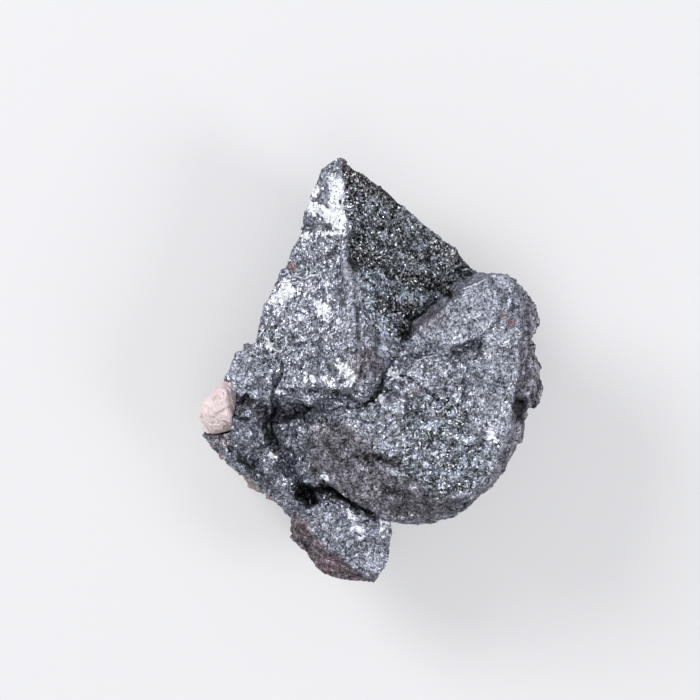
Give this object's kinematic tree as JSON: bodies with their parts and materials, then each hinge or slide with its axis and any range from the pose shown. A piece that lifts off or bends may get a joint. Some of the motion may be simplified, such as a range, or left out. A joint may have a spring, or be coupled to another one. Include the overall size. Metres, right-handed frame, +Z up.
{
  "type": "hematite pseudomorph specimen",
  "caption": "Hand specimen of hematite in the shape of intergrown octahedral magnetite crystals, with a remnant of pale volcanic host rock; it lies on the flat back of its broadest crystal.",
  "frame": {"origin": "middle of the bounding box in plan, on the surface that the stone rests on", "axes": "+Z up from the resting face; +Y along the longest extent, towards the tip of the upper crystal; +X to the right as seen from above"},
  "size_m": [0.0342, 0.0426, 0.0235],
  "materials": {
    "hematite": "dark blue-grey metallic lustre, finely sparkling druse, scuffed pale in places",
    "host_rock": "pale pinkish grey, dull, finely pitted"
  },
  "bodies": {
    "root": {"hematite_cluster": "hematite", "host_rock": "host_rock"}
  },
  "joints": []
}
